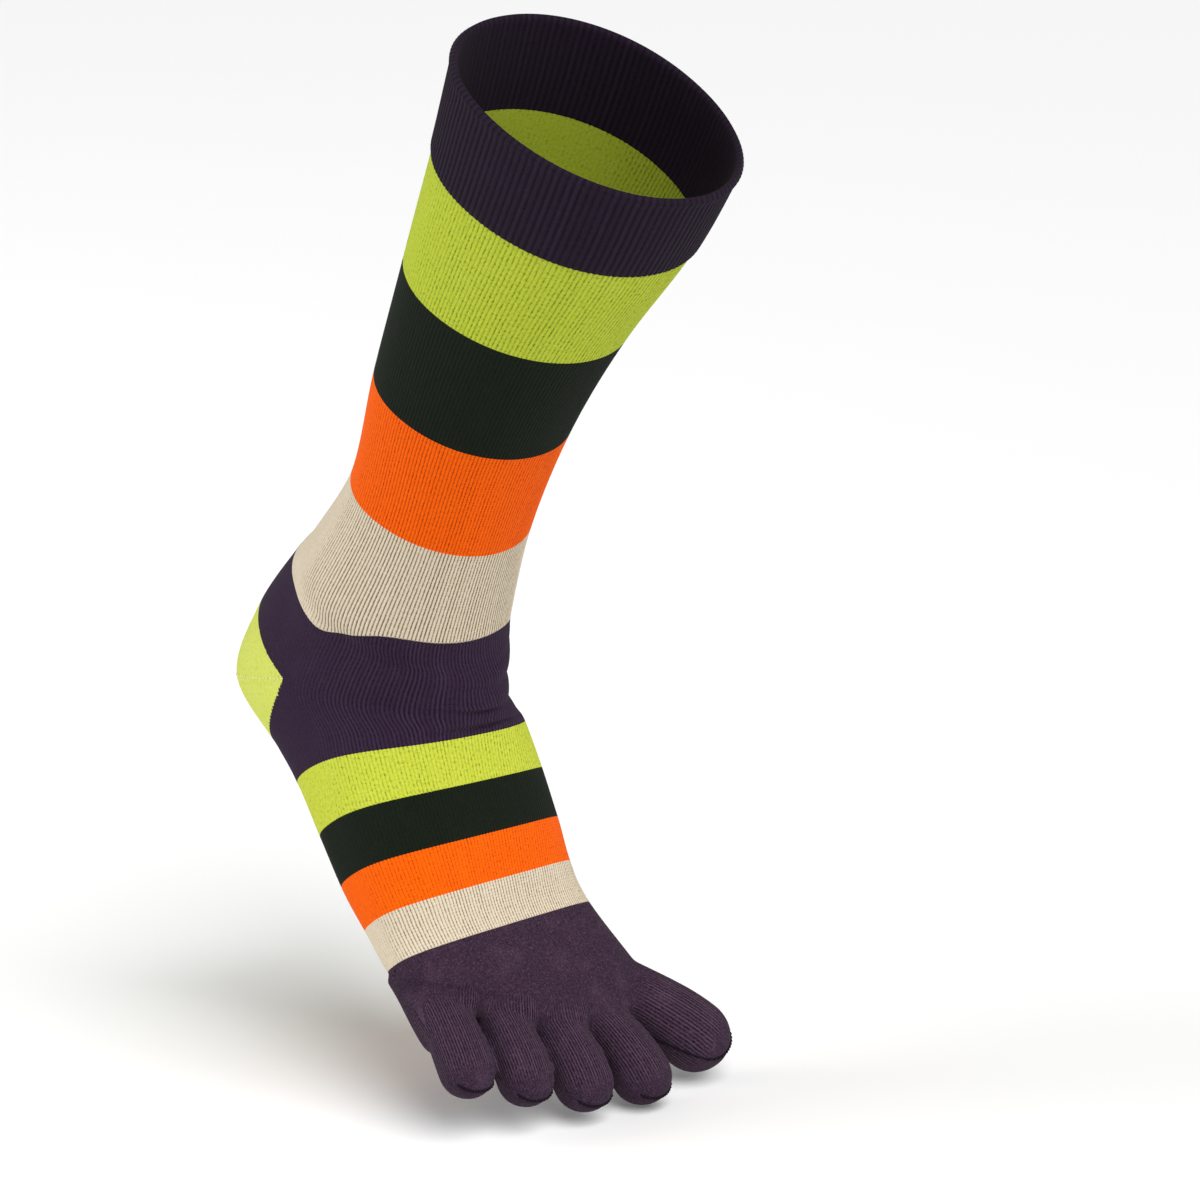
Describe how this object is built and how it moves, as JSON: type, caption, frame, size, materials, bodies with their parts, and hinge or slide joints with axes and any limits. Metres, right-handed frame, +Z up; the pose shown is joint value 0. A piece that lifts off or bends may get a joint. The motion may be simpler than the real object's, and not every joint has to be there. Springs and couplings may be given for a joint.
{
  "type": "toe sock",
  "caption": "Knitted toe sock with a ribbed cuff, broad colour stripes round the leg and instep, a contrast heel pocket and a separate sleeve for each toe.",
  "frame": {"origin": "centre of the cuff's mouth, where the sock sits on the shin", "axes": "+Z up, -Y the way the toes point, +X towards the big toe's side; the heel is raised, so the sole slopes down to the toes"},
  "size_m": [0.127, 0.2371, 0.4054],
  "materials": {
    "plum_knit": "matt plum cotton rib and plain knit",
    "lime_knit": "matt lime cotton knit",
    "dark_green_knit": "matt very dark green cotton knit",
    "orange_knit": "matt orange cotton knit",
    "beige_knit": "matt beige cotton knit"
  },
  "bodies": {
    "root": {"cuff": "plum_knit", "leg_lime": "lime_knit", "leg_dark_green": "dark_green_knit", "leg_orange": "orange_knit", "leg_beige": "beige_knit", "ankle": "plum_knit", "heel_pocket": "lime_knit", "foot_lime": "lime_knit", "foot_dark_green": "dark_green_knit", "foot_orange": "orange_knit", "foot_beige": "beige_knit", "forefoot": "plum_knit", "big_toe": "plum_knit", "second_toe": "plum_knit", "third_toe": "plum_knit", "fourth_toe": "plum_knit", "little_toe": "plum_knit"}
  },
  "joints": []
}
